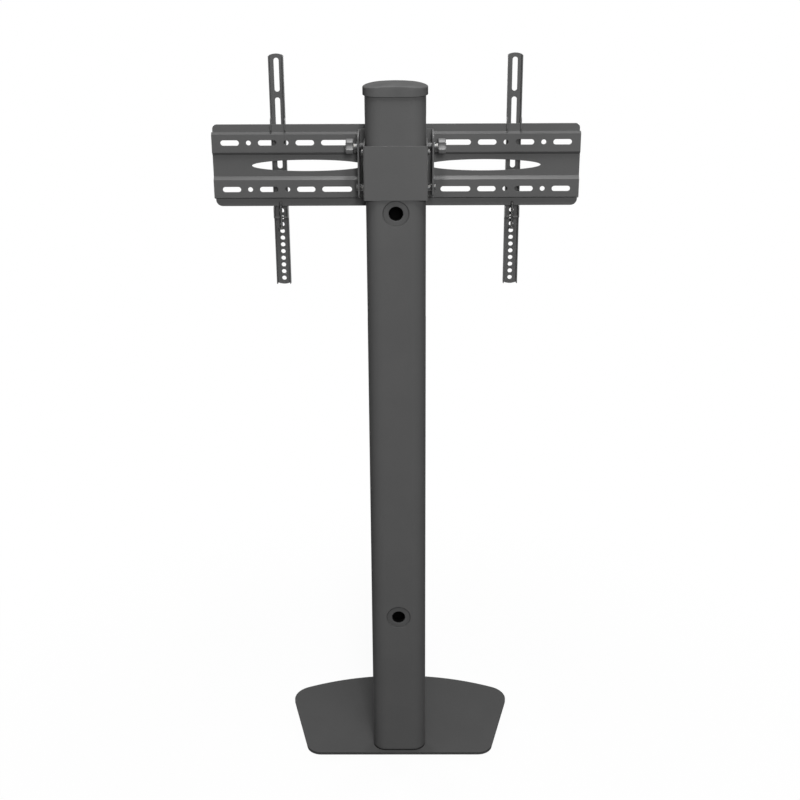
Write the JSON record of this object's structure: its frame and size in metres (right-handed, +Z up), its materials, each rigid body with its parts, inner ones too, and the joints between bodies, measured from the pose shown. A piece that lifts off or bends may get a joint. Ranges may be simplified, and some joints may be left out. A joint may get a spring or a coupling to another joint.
{
  "type": "tv stand with mount",
  "caption": "Floor stand for a flat television: oval column on a splayed base plate, height collar, tilting cross plate and sliding hooked arms",
  "frame": {"origin": "on the floor under the axis of the column, on the lower face of the middle pad", "axes": "+Z up, +Y towards the television and the front of the base plate, +X to the right as seen from behind the stand"},
  "size_m": [0.669, 0.283, 1.426],
  "materials": {
    "powder_coat": "fine-textured satin powder coat on sheet steel, dark grey",
    "dark_plastic": "moulded plastic, matt dark grey",
    "black_nylon": "turned nylon, matt black",
    "rubber": "soft rubber sheet, matt black",
    "plated_steel": "zinc-plated steel fasteners"
  },
  "bodies": {
    "stand": {"base_plate": "powder_coat", "base_pads": "rubber", "base_screws": "plated_steel", "column_foot": "plated_steel", "column_tube": "powder_coat", "top_cap": "dark_plastic", "upper_grommet": "dark_plastic", "lower_grommet": "dark_plastic"},
    "height_collar": {"collar": "powder_coat", "front_channel": "powder_coat", "left_nut_plate": "plated_steel", "right_nut_plate": "plated_steel", "clamp_bolts": "plated_steel", "clamp_washers": "plated_steel", "pivot_bolts": "plated_steel", "pivot_nuts": "plated_steel", "spacer_bushes": "black_nylon", "tilt_studs": "plated_steel", "tilt_washers": "plated_steel"},
    "left_knob": {"left_knob_insert": "plated_steel", "left_tilt_knob": "dark_plastic"},
    "right_knob": {"right_knob_insert": "plated_steel", "right_tilt_knob": "dark_plastic"},
    "tilt_head": {"tilt_bracket": "powder_coat", "bracket_bolts": "plated_steel", "bracket_nuts": "plated_steel", "wall_plate": "powder_coat"},
    "left_hooked_arm": {"left_arm": "powder_coat", "left_lock_screw": "plated_steel"},
    "right_hooked_arm": {"right_arm": "powder_coat", "right_lock_screw": "plated_steel"}
  },
  "joints": [
    {"name": "collar_height", "type": "slide", "parent": "stand", "child": "height_collar", "axis": [0, 0, 1], "range_m": [-0.24, 0.06]},
    {"name": "head_tilt", "type": "hinge", "parent": "height_collar", "child": "tilt_head", "pos_m": [0, 0.039, 1.1945], "axis": [-1, 0, 0], "range_deg": [-5, 12]},
    {"name": "left_knob_turn", "type": "hinge", "parent": "height_collar", "child": "left_knob", "pos_m": [-0.084, 0.039, 1.269], "axis": [-1, 0, 0], "range_deg": [0, 720]},
    {"name": "right_knob_turn", "type": "hinge", "parent": "height_collar", "child": "right_knob", "pos_m": [0.084, 0.039, 1.269], "axis": [1, 0, 0], "range_deg": [0, 720]},
    {"name": "left_arm_slide", "type": "slide", "parent": "tilt_head", "child": "left_hooked_arm", "axis": [-1, 0, 0], "range_m": [-0.103, 0.097]},
    {"name": "right_arm_slide", "type": "slide", "parent": "tilt_head", "child": "right_hooked_arm", "axis": [1, 0, 0], "range_m": [-0.103, 0.097]}
  ]
}
